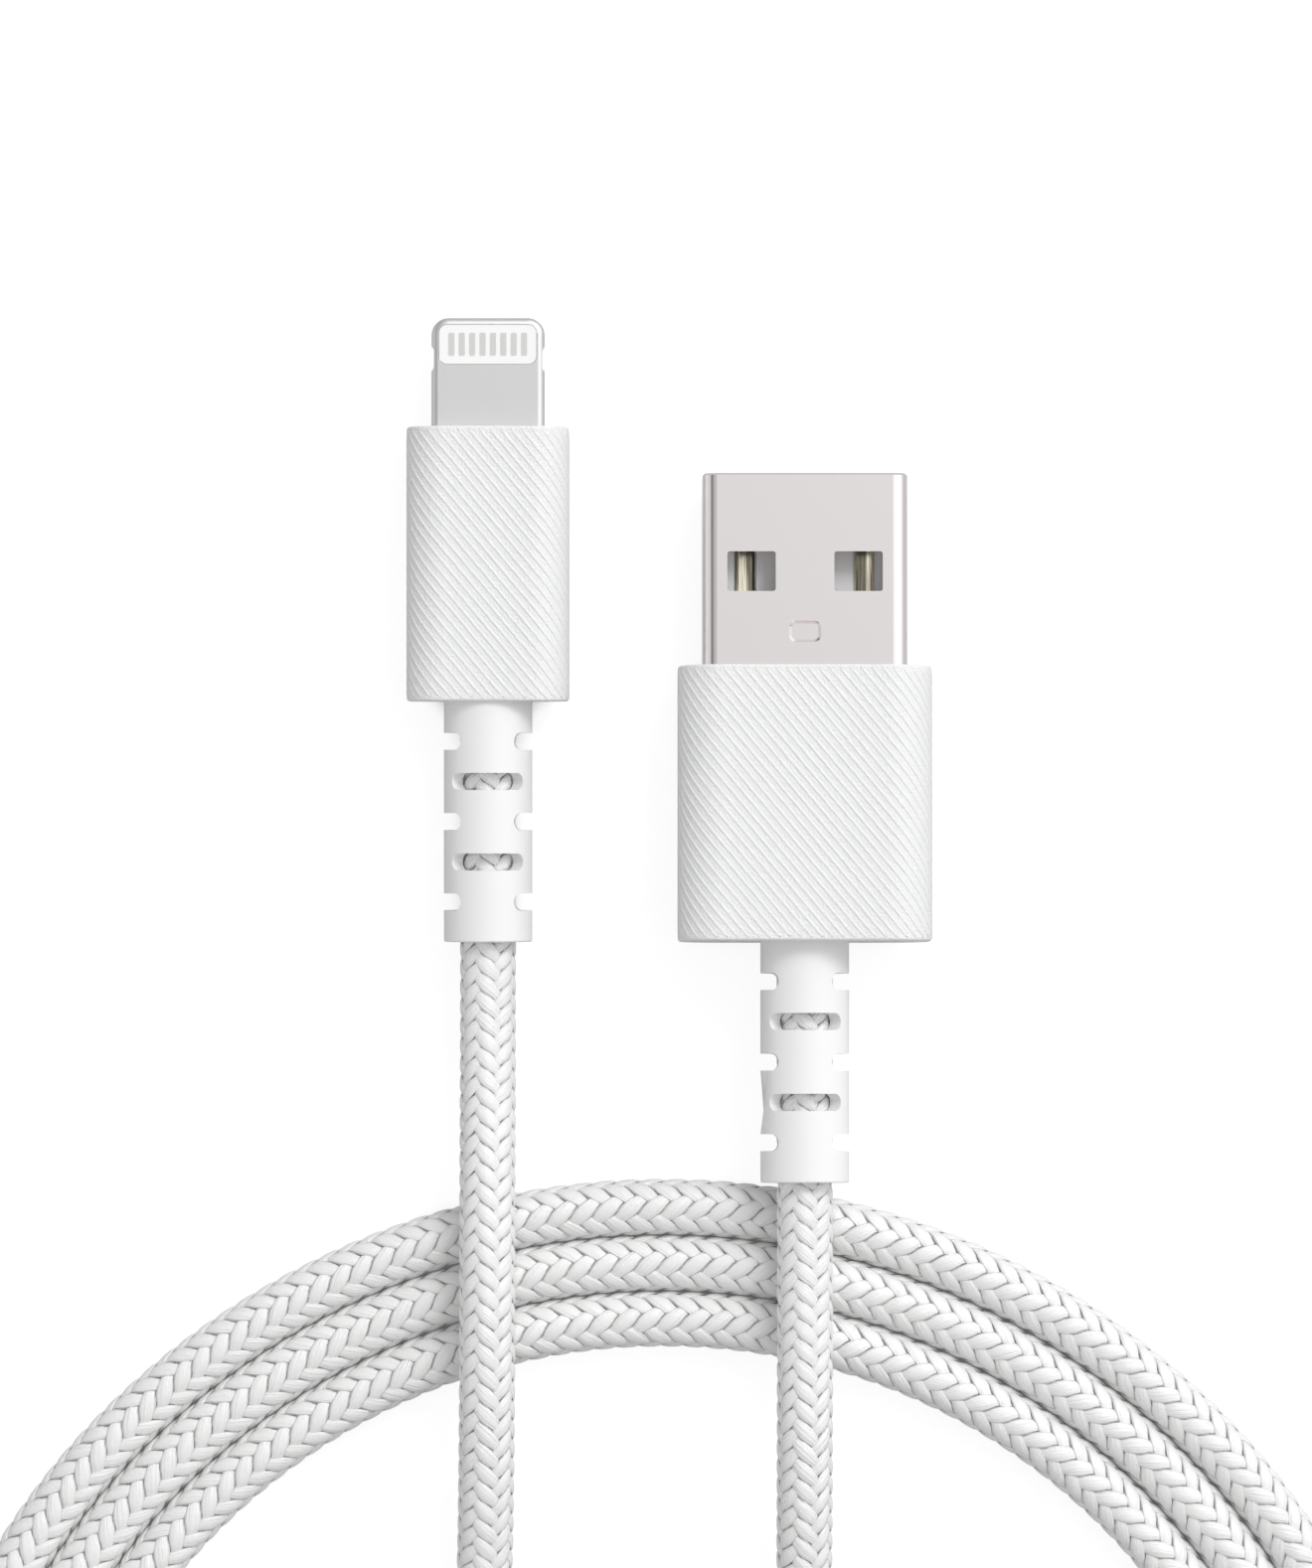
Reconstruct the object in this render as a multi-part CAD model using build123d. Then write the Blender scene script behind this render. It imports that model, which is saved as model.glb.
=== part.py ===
"""A braided charging cable: a flat A plug and a small reversible blade plug on one coiled cord.

Both plugs are drawn in one plug frame: the plug points along +Y, its housing's front face lies at y = 0,
and its top faces +Z. Each plug is then laid in the part's frame, whose floor is z = 0. All sizes are in mm.
"""
from build123d import *
import math
import os

# ---- cord -------------------------------------------------------------------------------------------
cord_diameter = 3.3
conductor_diameter = 0.7         # one insulated conductor inside the cord
conductor_spacing = 0.95         # between conductors, where the four leave the cord as a square

# ---- fits -------------------------------------------------------------------------------------------
fit_gap = 0.05                   # clearance on each side between parts that nest

# ---- housings, shared by both plugs -----------------------------------------------------------------
housing_length = 16.1
housing_end_round = 0.15
front_wall = 1.2
rear_wall = 1.2
side_wall = 0.8
top_wall = 0.7

blade_housing_corner = 2.2
blade_mould_side = 0.25          # inner mould beside the blade's flange
blade_mould_top = 0.3            # inner mould above and below it
a_housing_corner = 2.6
a_mould_side = 0.275             # inner mould beside the A plug's rear covers
a_mould_top = 0.6

# ---- strain-relief boots, the same on both plugs ----------------------------------------------------
boot_diameter = 5.2
boot_length = 14.15
boot_end_round = 0.12
boot_neck_diameter = 4.5
boot_flange_length = 1.2
slot_rows = 5
slot_first = 2.36                # housing to the middle of the first slot
slot_pitch = 2.36
slot_width = 1.0
slot_half_angle = 42.0           # to the centre of a slot's rounded end

# ---- blade plug -------------------------------------------------------------------------------------
blade_length = 6.43              # stands out of the housing
blade_width = 6.65
blade_height = 1.5
blade_tip_radius = 1.0
blade_edge_round = 0.4
detent_from_tip = 2.4
detent_length = 1.7
detent_depth = 0.15
detent_end_radius = 0.45
blade_rail = 0.44                # metal left on each side of the window
window_length = 2.37
window_from_tip = 0.36
window_corner = 0.5
carrier_recess = 0.05            # carrier's face below the frame's
carrier_gap = 0.02               # it is moulded into the window
pad_count = 8
pad_pitch = 0.61
pad_width = 0.35
pad_length = 1.34
pad_thickness = 0.1
pad_stand = 0.02                 # pad's face above the carrier's
board_thickness = 0.6
board_tongue_width = 4.6
board_side_gap = 0.35            # between the board's wide part and the can
board_to_can_back = 1.0
solder_length = 1.2              # of the board's solder pads
flange_side = 0.275              # how far the flange stands out of the blade
flange_top = 1.15
blade_flange_length = 1.2
can_inset = 0.1                  # can's side within the flange's
can_rise = 0.05                  # can's top above the flange's
can_corner = 0.4
blade_strap_length = 1.95        # lower can to its crimp
chip_size = (2.6, 2.4, 0.7)      # across, along, high
chip_gap = 0.6                   # behind the flange
capacitor_size = (1.0, 0.5, 0.45)
capacitor_count = 3
capacitor_pitch = 1.6
capacitor_gap = 0.85             # behind the chip
blade_pad_row_pitch = 1.6        # between the board's four solder pads

# ---- A plug -----------------------------------------------------------------------------------------
shell_length = 11.3              # stands out of the housing
shell_to_crimp = 4.45            # shell's rear end to the lower cover's crimp
shell_width = 12.0
shell_height = 4.5
shell_wall = 0.3
shell_corner = 0.85
shell_lip = 0.12
shell_window_width = 2.83
shell_window_length = 2.33
shell_window_corner = 0.15
shell_window_spacing = 6.26
shell_window_from_tip = 5.77
shell_seam = 0.06                # along the middle of the underside
dimple_width = 1.87
dimple_length = 1.25
dimple_corner = 0.38
dimple_depth = 0.22
dimple_slope = 0.16              # width of its sloping wall
dimple_from_tip = 9.3
tongue_from_tip = 0.6
tongue_block_front = -0.5        # where the full-height block begins, behind the housing's front
tongue_side_gap = 0.05
shelf_length = 1.6               # solder shelf behind the shell
shelf_inset = 0.45               # shelf's side within the tongue's
shelf_height = 1.25
channel_side_gap = 0.1           # on each side of a contact
channel_depth = 0.35
contact_width = 1.15
contact_thickness = 0.3
contact_edge_round = 0.24
contact_ramp = 0.5
solder_clearance = 0.2           # bare contact between the shell and a wire
power_contact_x = 3.5
data_contact_x = 1.0
power_contact_from_tip = 1.1
data_contact_from_tip = 2.1
cover_overlap = 0.8              # of the rear covers on the shell
cover_corner = 0.7
a_strap_length = 0.55            # lower cover to its crimp

# ---- stamped shields --------------------------------------------------------------------------------
shield_wall = 0.2
shield_tab_width = 1.2
shield_tab_height = 0.45
shield_tab_count = 2
crimp_length = 1.8
crimp_gap_angle = 25.0           # half the opening at the top of the crimp
crimp_to_boot = 0.15
strap_width = 2.2
jacket_length = 0.45             # cord beyond the crimp, inside the plug

# ---- how the plugs lie ------------------------------------------------------------------------------
plug_spacing = 18.6              # between the plugs' axes
tip_lead = 9.25                  # blade's tip ahead of the A shell's
a_plug_tilt = 2.2                # its rear is raised, riding on the coil

# ---- coil -------------------------------------------------------------------------------------------
coil_centre = (0.18, -71.96)
coil_first_radius = 38.45        # centreline of the first turn, at the top
coil_start_angle = -50.0
coil_end_angle = 935.0
coil_flattening = 9.0            # how much nearer the far side lies
coil_round_angle = 52.0          # to each side of the top, where the coil is a true circle
coil_edge_bevel = 0.9
coil_step_angle = 5.0
coil_start_turn = 8.0            # the blade's tail arrives turned inwards by this

# ---- tails, from their plugs to the coil ------------------------------------------------------------
crossing_height = 5.45           # of a tail's centreline, where it lies over the coil
blade_axis_end = -35.5           # where each tail leaves its plug's axis, in the plug's frame
a_axis_end = -46.4
start_run = 7.2                  # straight, into the first turn
end_run = 9.6                    # straight, out of the last
blade_tail_over = ((-10.64, -27.5), (-10.64, -39.0))
blade_tail_flat = (
    (-10.9, -52.0), (-12.4, -64.5), (-14.5, -77.5), (-12.0, -87.0), (-5.5, -94.4), (3.4, -98.2))
a_tail_over = ((-15.9, -107.2), (-5.0, -107.3), (4.2, -102.3), (9.9, -93.2))
a_tail_flat = ((11.2, -81.5), (10.2, -67.5), (7.96, -54.0))

# ---- worked out -------------------------------------------------------------------------------------
cord_radius = cord_diameter / 2
boot_radius = boot_diameter / 2
mould_front = -front_wall
mould_rear = -(housing_length - rear_wall - boot_flange_length)
crimp_rear = mould_rear + crimp_to_boot
crimp_front = crimp_rear + crimp_length
cord_end = crimp_front + jacket_length

window_width = blade_width - 2 * blade_rail
window_centre = blade_length - window_from_tip - window_length / 2
window_back = blade_length - window_from_tip - window_length
pad_reach = (pad_count - 1) / 2 * pad_pitch
blade_flange_width = blade_width + 2 * flange_side
blade_flange_height = blade_height + 2 * flange_top
blade_flange_back = -front_wall - blade_flange_length
blade_can_width = blade_flange_width - 2 * can_inset
blade_can_height = blade_flange_height + 2 * can_rise
blade_housing_width = blade_flange_width + 2 * (blade_mould_side + 2 * fit_gap + side_wall)
blade_housing_height = blade_flange_height + 2 * (blade_mould_top + 2 * fit_gap + top_wall)
board_width = blade_can_width - 2 * (shield_wall + board_side_gap)
board_back = crimp_front + blade_strap_length + board_to_can_back

shell_tail = -crimp_front - shell_to_crimp
cover_front = cover_overlap - shell_tail
cover_width = shell_width + 2 * (fit_gap + shield_wall)
cover_height = shell_height + 2 * (fit_gap + shield_wall)
a_housing_width = cover_width + 2 * (a_mould_side + 2 * fit_gap + side_wall)
a_housing_height = cover_height + 2 * (a_mould_top + 2 * fit_gap + top_wall)
channel_width = contact_width + 2 * channel_side_gap
tilt = math.radians(a_plug_tilt)


def across(y):
    """The plane across a plug at y, with +X to the right and +Z up."""
    return Plane((0, y, 0), x_dir=(1, 0, 0), z_dir=(0, -1, 0))


def bar(profile, front, back):
    """A cross-section of a plug, carried from y = front back to y = back."""
    return extrude(across(front) * profile, amount=front - back)


def post(profile, low, high):
    """A plan outline carried from z = low up to z = high."""
    return extrude(Pos(0, 0, low) * profile, amount=high - low)


def half(solid, sign):
    """The part of a solid above (sign 1) or below (sign -1) the plug's middle plane."""
    reach = 100
    return solid & (Pos(0, 0, sign * reach / 2) * Box(reach, reach, reach))


# ---- housings and boots -----------------------------------------------------------------------------
def cavity_profile(width, height, corner, gap=0.0):
    """Cross-section of a housing's inner space, or of a piece that fills it with a gap all round."""
    inner_width = width - 2 * (side_wall + gap)
    inner_height = height - 2 * (top_wall + gap)
    return RectangleRounded(inner_width, inner_height, corner - side_wall)


def housing(width, height, corner, mouth):
    """Outer shell of a plug, with a mouth for the metal in front and a hole for the boot's neck behind."""
    body = bar(RectangleRounded(width, height, corner), 0, -housing_length)
    ends = body.faces().filter_by(Axis.Y)
    body = fillet(ends.edges(), housing_end_round)
    space = bar(cavity_profile(width, height, corner), -front_wall, rear_wall - housing_length)
    neck_hole = bar(Circle(boot_neck_diameter / 2 + fit_gap), rear_wall - housing_length, -housing_length)
    return body - space - bar(mouth, 0, -front_wall) - neck_hole


def slot_cutter():
    """One slot through the boot's wall on its +X side: radial walls with rounded ends."""
    angle = math.radians(slot_half_angle)
    corner = (boot_diameter * math.cos(angle), boot_diameter * math.sin(angle))
    fan = make_face(Polyline((0, 0), (corner[0], -corner[1]), corner, close=True))
    cutter = bar(fan, slot_width / 2, -slot_width / 2)
    from_end = (Align.CENTER, Align.CENTER, Align.MIN)
    drill = Rot(0, 90, 0) * Cylinder(slot_width / 2, boot_diameter, align=from_end)
    for side in (-1, 1):
        cutter += Rot(0, side * slot_half_angle, 0) * drill
    return cutter


def boot(width, height, corner):
    """Slotted strain relief: its flange and neck are locked in the housing, its slots alternate by row."""
    rear = -(housing_length + boot_length)
    sleeve = bar(Circle(boot_radius), -housing_length, rear)
    sleeve = fillet(sleeve.faces().sort_by(Axis.Y)[0].edges(), boot_end_round)
    neck = bar(Circle(boot_neck_diameter / 2), rear_wall - housing_length, -housing_length)
    flange = bar(cavity_profile(width, height, corner, fit_gap), mould_rear, rear_wall - housing_length)
    body = sleeve + neck + flange - bar(Circle(cord_radius + fit_gap), mould_rear, rear)
    cutter = slot_cutter()
    for row in range(slot_rows):
        y = -(housing_length + slot_first + row * slot_pitch)
        first_turn = 90 * (row % 2)
        for turn in (first_turn, first_turn + 180):
            body -= Pos(0, y, 0) * Rot(0, turn, 0) * cutter
    return body


def crimp_bore():
    return Circle(cord_radius + fit_gap + shield_wall + fit_gap)


def shield(width, height, corner, front, strap_length):
    """Two stamped covers that meet on the middle plane; the lower one carries the strap and crimp."""
    back = crimp_front + strap_length
    outer = RectangleRounded(width, height, corner)
    inner = RectangleRounded(width - 2 * shield_wall, height - 2 * shield_wall, corner - shield_wall)
    skin = bar(outer - inner, front, back)
    upper = half(skin, 1)
    lower = half(skin, -1)
    side_x = width / 2 - shield_wall / 2
    for place in range(shield_tab_count):
        y = front - (front - back) * (place + 1) / (shield_tab_count + 1)
        for side in (-1, 1):
            tab = Pos(side * side_x, y, shield_tab_height / 2) * Box(
                shield_wall, shield_tab_width, shield_tab_height)
            lower += tab
            upper -= tab
    floor = -height / 2
    barrel_inner = cord_radius + fit_gap
    barrel_outer = barrel_inner + shield_wall
    strap_side = Polyline(
        (back, floor), (crimp_front, -barrel_outer), (crimp_front, shield_wall - barrel_outer),
        (back, floor + shield_wall), close=True)
    strap = extrude(Plane.YZ * make_face(strap_side), amount=strap_width / 2, both=True)
    reach = 2 * barrel_outer
    angle = math.radians(crimp_gap_angle)
    spread = reach * math.sin(angle)
    opening = make_face(Polyline((0, 0), (spread, reach), (-spread, reach), close=True))
    barrel = bar(Circle(barrel_outer) - Circle(barrel_inner) - opening, crimp_front, crimp_rear)
    lower += strap
    lower += barrel
    return upper, lower


def conductor(pad_x, pad_z, pad_front, pad_back, corner_x, corner_z):
    """One insulated conductor, from its solder pad to its place in the cord's end."""
    bend_end = cord_end + conductor_diameter / 2
    end_x = corner_x * conductor_spacing / 2
    end_z = corner_z * conductor_spacing / 2
    path = FilletPolyline(
        (pad_x, pad_front, pad_z), (pad_x, pad_back, pad_z),
        (end_x, bend_end, end_z), (end_x, cord_end, end_z), radius=conductor_diameter / 2)
    return sweep(Plane(path @ 0, z_dir=path % 0) * Circle(conductor_diameter / 2), path=path)


# ---- blade plug -------------------------------------------------------------------------------------
def blade_outline(width):
    """Plan outline of the blade, from its round-cornered tip back to the flange's rear."""
    long = blade_length - blade_flange_back
    outline = Pos(0, blade_flange_back + long / 2) * Rectangle(width, long)
    tips = outline.vertices().group_by(Axis.Y)[-1]
    return fillet(tips, blade_tip_radius)


def window_outline(gap=0.0):
    width = window_width - 2 * gap
    length = window_length - 2 * gap
    return Pos(0, window_centre) * RectangleRounded(width, length, window_corner - gap)


def blade_frame():
    """The metal blade: a window through it, a channel for the board, side detents and a rear flange."""
    half_height = blade_height / 2
    body = post(blade_outline(blade_width), -half_height, half_height)
    rim = body.edges().filter_by(Plane.XY).filter_by(lambda edge: edge.center().Y > -front_wall)
    body = fillet(rim, blade_edge_round)
    flange = RectangleRounded(blade_flange_width, blade_flange_height, can_corner)
    body += bar(flange, -front_wall, blade_flange_back)
    for side in (-1, 1):
        x = side * (blade_width / 2 + detent_end_radius - detent_depth)
        scoop = Rot(0, 0, 90) * SlotOverall(detent_length, 2 * detent_end_radius)
        body -= post(Pos(x, blade_length - detent_from_tip) * scoop, -half_height, half_height)
    body -= post(window_outline(), -half_height, half_height)
    channel = Rectangle(board_tongue_width + 2 * fit_gap, board_thickness + 2 * fit_gap)
    return body - bar(channel, window_back, blade_flange_back)


def pads(side):
    """A row of separate contacts, seated in the carrier's face on side 1 (front) or -1 (back)."""
    high = blade_height / 2 - carrier_recess + pad_stand
    plan = RectangleRounded(pad_width, pad_length, pad_width / 4)
    row = []
    for index in range(pad_count):
        spot = Pos(index * pad_pitch - pad_reach, window_centre)
        pad = post(spot * plan, high - pad_thickness, high)
        row.append(pad if side > 0 else pad.mirror(Plane.XY))
    return row


def blade_carrier():
    """The insulator moulded into the window, with a seat under each contact."""
    face = blade_height / 2 - carrier_recess
    body = post(window_outline(carrier_gap), -face, face)
    for side in (-1, 1):
        for pad in pads(side):
            body -= pad
    return body


def blade_board():
    """The board: a narrow tongue inside the blade and a wide part behind the flange."""
    front = window_back + carrier_gap
    tongue = bar(Rectangle(board_tongue_width, board_thickness), front, blade_flange_back)
    return tongue + bar(Rectangle(board_width, board_thickness), blade_flange_back, board_back)


def on_board(size, x, y):
    """A block part that stands on the board's top face, centred on x and y."""
    height = size[2]
    return Pos(x, y, board_thickness / 2 + height / 2) * Box(*size)


def blade_parts():
    """Every piece of the blade plug, in the plug's frame."""
    width, height, corner = blade_housing_width, blade_housing_height, blade_housing_corner
    mouth = Rectangle(blade_width + 2 * fit_gap, blade_height + 2 * fit_gap)
    can_width, can_height = blade_can_width, blade_can_height
    upper, lower = shield(can_width, can_height, can_corner, blade_flange_back, blade_strap_length)
    can_space = RectangleRounded(can_width + 2 * fit_gap, can_height + 2 * fit_gap, can_corner)
    mould = bar(cavity_profile(width, height, corner, fit_gap), mould_front, mould_rear)
    flange_space = RectangleRounded(
        blade_flange_width + 2 * fit_gap, blade_flange_height + 2 * fit_gap, can_corner)
    mould -= bar(flange_space, mould_front, blade_flange_back)
    mould -= bar(can_space, blade_flange_back, crimp_front)
    mould -= bar(crimp_bore(), crimp_front, mould_rear)
    chip_y = blade_flange_back - chip_gap - chip_size[1] / 2
    solder_front = board_back + solder_length
    capacitor_y = chip_y - chip_size[1] / 2 - capacitor_gap - capacitor_size[1] / 2
    first_x = -(capacitor_count - 1) / 2 * capacitor_pitch
    capacitor_x = [first_x + index * capacitor_pitch for index in range(capacitor_count)]
    capacitors = [on_board(capacitor_size, x, capacitor_y) for x in capacitor_x]
    wire_z = board_thickness / 2 + conductor_diameter / 2
    parts = {
        "blade_frame": blade_frame(),
        "blade_contact_carrier": blade_carrier(),
        "blade_contacts_front": Compound(pads(1)),
        "blade_contacts_back": Compound(pads(-1)),
        "blade_circuit_board": blade_board(),
        "blade_chip": on_board(chip_size, 0, chip_y),
        "blade_capacitors": Compound(capacitors),
        "blade_shield_upper": upper,
        "blade_shield_lower": lower,
        "blade_inner_mould": mould,
        "blade_housing": housing(width, height, corner, mouth),
        "blade_boot": boot(width, height, corner),
    }
    places = {"power": (-1.5, 1), "ground": (1.5, 1), "data_minus": (-0.5, -1), "data_plus": (0.5, -1)}
    for name, (place, row) in places.items():
        pad_x = place * blade_pad_row_pitch
        back = board_back - (0.0 if row > 0 else conductor_diameter / 2)
        side = math.copysign(1, place)
        parts["blade_wire_" + name] = conductor(pad_x, wire_z, solder_front, back, side, row)
    return parts


# ---- A plug -----------------------------------------------------------------------------------------
def dimple(top):
    """A pressed recess with sloping walls, whose rim lies at z = top."""
    spot = Pos(0, shell_length - dimple_from_tip)
    rim = RectangleRounded(dimple_width, dimple_length, dimple_corner)
    width, length = dimple_width - 2 * dimple_slope, dimple_length - 2 * dimple_slope
    bed = RectangleRounded(width, length, dimple_corner - dimple_slope)
    return loft([Pos(0, 0, top - dimple_depth) * spot * bed, Pos(0, 0, top) * spot * rim])


def a_shell():
    """Stamped shell: a tube rolled to a seam, with a lip, windows in both faces and a dimple on top."""
    outer = RectangleRounded(shell_width, shell_height, shell_corner)
    inner_width, inner_height = shell_width - 2 * shell_wall, shell_height - 2 * shell_wall
    inner = RectangleRounded(inner_width, inner_height, shell_corner - shell_wall)
    tube = bar(outer, shell_length, -shell_tail)
    tube = chamfer(tube.faces().sort_by(Axis.Y)[-1].edges(), shell_lip)
    tube -= bar(inner, shell_length, -shell_tail)
    for side in (-1, 1):
        spot = Pos(side * shell_window_spacing / 2, shell_length - shell_window_from_tip)
        window = RectangleRounded(shell_window_width, shell_window_length, shell_window_corner)
        tube -= post(spot * window, -shell_height, shell_height)
    top = shell_height / 2
    seam = Pos(0, -top + shell_wall / 2) * Rectangle(shell_seam, shell_wall)
    return tube + dimple(top - shell_wall) - dimple(top) - bar(seam, shell_length, -shell_tail)


def contact_places():
    """Name, side position and distance from the tip of each A contact."""
    return {
        "power": (-power_contact_x, power_contact_from_tip),
        "data_minus": (-data_contact_x, data_contact_from_tip),
        "data_plus": (data_contact_x, data_contact_from_tip),
        "ground": (power_contact_x, power_contact_from_tip),
    }


def a_contact(x, from_tip):
    """A contact with a ramped nose and rounded long edges, lying on its channel's floor."""
    front = shell_length - from_tip
    back = -shell_tail - shelf_length
    floor = -channel_depth
    top = floor + contact_thickness
    side = Polyline((front, floor), (front - contact_ramp, top), (back, top), (back, floor), close=True)
    blank = extrude(Plane.YZ * make_face(side), amount=contact_width / 2, both=True)
    section = Rectangle(contact_width, contact_thickness)
    section = fillet(section.vertices().group_by(Axis.Y)[-1], contact_edge_round)
    strip = bar(Pos(0, floor + contact_thickness / 2) * section, front, back)
    return Pos(x, 0, 0) * (strip & blank)


def a_tongue():
    """The insulator: a half-height tongue with channels, a full block behind it and a solder shelf."""
    inner_width = shell_width - 2 * shell_wall - 2 * tongue_side_gap
    inner_half = shell_height / 2 - shell_wall - tongue_side_gap
    front = shell_length - tongue_from_tip
    corner = shell_corner - shell_wall
    full = RectangleRounded(inner_width, 2 * inner_half, corner)
    body = half(bar(full, front, tongue_block_front), -1)
    body += bar(full, tongue_block_front, -shell_tail)
    shelf_width = inner_width - 2 * shelf_inset
    shelf = Pos(0, -channel_depth - shelf_height / 2) * Rectangle(shelf_width, shelf_height)
    body += bar(shelf, -shell_tail, -shell_tail - shelf_length)
    for x, from_tip in contact_places().values():
        nose = shell_length - from_tip
        channel = Pos(x, -channel_depth / 2) * Rectangle(channel_width, channel_depth)
        slot = Pos(x, contact_thickness / 2 - channel_depth) * Rectangle(contact_width, contact_thickness)
        body -= bar(channel, nose, tongue_block_front)
        body -= bar(slot, tongue_block_front, -shell_tail)
    return body


def a_parts():
    """Every piece of the A plug, in the plug's frame."""
    width, height, corner = a_housing_width, a_housing_height, a_housing_corner
    shell_space = RectangleRounded(shell_width + 2 * fit_gap, shell_height + 2 * fit_gap, shell_corner)
    cover_space = RectangleRounded(cover_width + 2 * fit_gap, cover_height + 2 * fit_gap, cover_corner)
    upper, lower = shield(cover_width, cover_height, cover_corner, cover_front, a_strap_length)
    mould = bar(cavity_profile(width, height, corner, fit_gap), mould_front, mould_rear)
    mould -= bar(shell_space, mould_front, cover_front)
    mould -= bar(cover_space, cover_front, crimp_front)
    mould -= bar(crimp_bore(), crimp_front, mould_rear)
    parts = {
        "a_shell": a_shell(),
        "a_tongue": a_tongue(),
        "a_shield_upper": upper,
        "a_shield_lower": lower,
        "a_inner_mould": mould,
        "a_housing": housing(width, height, corner, shell_space),
        "a_boot": boot(width, height, corner),
    }
    wire_z = contact_thickness - channel_depth + conductor_diameter / 2
    solder_front = -shell_tail - solder_clearance
    solder_back = -shell_tail - shelf_length
    for name, (x, from_tip) in contact_places().items():
        row = 1 if name in ("power", "ground") else -1
        parts["a_contact_" + name] = a_contact(x, from_tip)
        back = solder_back - (0.0 if row > 0 else conductor_diameter / 2)
        parts["a_wire_" + name] = conductor(x, wire_z, solder_front, back, math.copysign(1, x), row)
    return parts


# ---- how the plugs lie ------------------------------------------------------------------------------
def plug_places():
    """The plugs' places: side by side and centred on the origin, the A plug's rear raised."""
    across_all = blade_housing_width / 2 + plug_spacing + a_housing_width / 2
    blade_x = blade_housing_width / 2 - across_all / 2
    rear_reach = (housing_length + boot_length) * math.cos(tilt) + boot_radius * math.sin(tilt)
    a_y = (rear_reach - shell_length - tip_lead) / 2
    blade_y = a_y + shell_length + tip_lead - blade_length
    half_height = a_housing_height / 2 - housing_end_round
    a_z = half_height * math.cos(tilt) - housing_end_round * math.sin(tilt) + housing_end_round
    blade = Pos(blade_x, blade_y, blade_housing_height / 2)
    return blade, Pos(blade_x + plug_spacing, a_y, a_z) * Rot(-a_plug_tilt, 0, 0)


# ---- cord -------------------------------------------------------------------------------------------
def coil_point(angle, offset=0.0):
    """A point on the coil's centreline, or to its outer side by offset; angles run on from turn to turn."""
    from_top = abs((angle - 90 + 180) % 360 - 180)
    share = max(0.0, (from_top - coil_round_angle) / (180 - coil_round_angle))
    radius = coil_first_radius + cord_diameter * (angle - 90) / 360
    radius -= coil_flattening * (1 - math.cos(math.pi * share)) / 2
    turn = math.radians(angle)
    point = Vector(coil_centre[0] + radius * math.cos(turn), coil_centre[1] + radius * math.sin(turn), 0)
    if offset:
        along = coil_direction(angle)
        point += Vector(along.Y, -along.X, 0) * offset
    return point


def coil_direction(angle):
    step = 0.01
    return (coil_point(angle + step) - coil_point(angle - step)).normalized()


def start_direction():
    """The way the blade's tail points where it joins the first turn."""
    return coil_direction(coil_start_angle).rotate(Axis.Z, -coil_start_turn)


def coil_edge(first, last, offset):
    """Points beside the centreline, evenly turned from just past the first angle to the last."""
    count = round((last - first) / coil_step_angle)
    return [coil_point(first + (last - first) * index / count, offset) for index in range(1, count + 1)]


def coil():
    """The outer shape of the three touching turns, with a square step where each tail joins it."""
    middle = coil_point(coil_start_angle)
    arrival = start_direction()
    square = Vector(arrival.Y, -arrival.X, 0) * cord_radius
    inner = [middle - square]
    inner += coil_edge(coil_start_angle, coil_start_angle + 360 - coil_step_angle, -cord_radius)
    inner.append(middle + square)
    outer = [coil_point(coil_end_angle, -cord_radius)]
    outer += coil_edge(coil_end_angle - 360, coil_end_angle, cord_radius)
    disc = make_face([Spline(*outer), Line(outer[-1], outer[0])])
    hole = make_face([Spline(*inner), Line(inner[-1], inner[0])])
    ring = extrude(disc, amount=cord_diameter) - extrude(hole, amount=cord_diameter)
    return chamfer(ring.edges().filter_by(GeomType.BSPLINE), coil_edge_bevel)


def bend_radii(points):
    """For each corner of a route: 0.45 of the shorter run over the tangent of half the turn."""
    radii = []
    for before, corner, after in zip(points, points[1:], points[2:]):
        run_in = corner - before
        run_out = after - corner
        turn = math.radians(run_in.get_angle(run_out))
        radii.append(0.45 * min(run_in.length, run_out.length) / math.tan(turn / 2))
    return radii


def cord_tube(points):
    """A plain round cord: straight runs joined by tangent arcs."""
    path = FilletPolyline(*points, radius=bend_radii(points))
    return sweep(Plane(path @ 0, z_dir=path % 0) * Circle(cord_radius), path=path)


def at_height(plan, z):
    return [Vector(x, y, z) for x, y in plan]


def cord_parts(blade_place, a_place):
    """The coil and the two tails that join it to the plugs."""
    lift = Vector(0, 0, cord_radius)
    start = coil_point(coil_start_angle) + lift
    end = coil_point(coil_end_angle) + lift
    blade_route = [(blade_place * Pos(0, y, 0)).position for y in (cord_end, blade_axis_end)]
    blade_route += at_height(blade_tail_over, crossing_height) + at_height(blade_tail_flat, cord_radius)
    blade_route += [start - start_direction() * start_run, start]
    a_route = [end, end + coil_direction(coil_end_angle) * end_run]
    a_route += at_height(a_tail_over, crossing_height) + at_height(a_tail_flat, cord_radius)
    a_route += [(a_place * Pos(0, y, 0)).position for y in (a_axis_end, cord_end)]
    return {
        "cord_tail_blade": cord_tube(blade_route),
        "cord_coil": coil(),
        "cord_tail_a": cord_tube(a_route),
    }


def main():
    os.makedirs("parts", exist_ok=True)
    blade_place, a_place = plug_places()
    nodes = {name: blade_place * piece for name, piece in blade_parts().items()}
    nodes.update({name: a_place * piece for name, piece in a_parts().items()})
    nodes.update(cord_parts(blade_place, a_place))
    for name, piece in nodes.items():
        export_step(piece, f"parts/{name}.step")


main()
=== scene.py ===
"""Looks of a braided charging cable: a ridged white housing, a slotted boot and metal contacts on
each end of one coiled cord. Lengths are in metres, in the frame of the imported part, apart from the
points of the cord's route and coil, which are in millimetres.
"""
import bpy
import math
import numpy as np
from mathutils import Matrix, Vector


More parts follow.
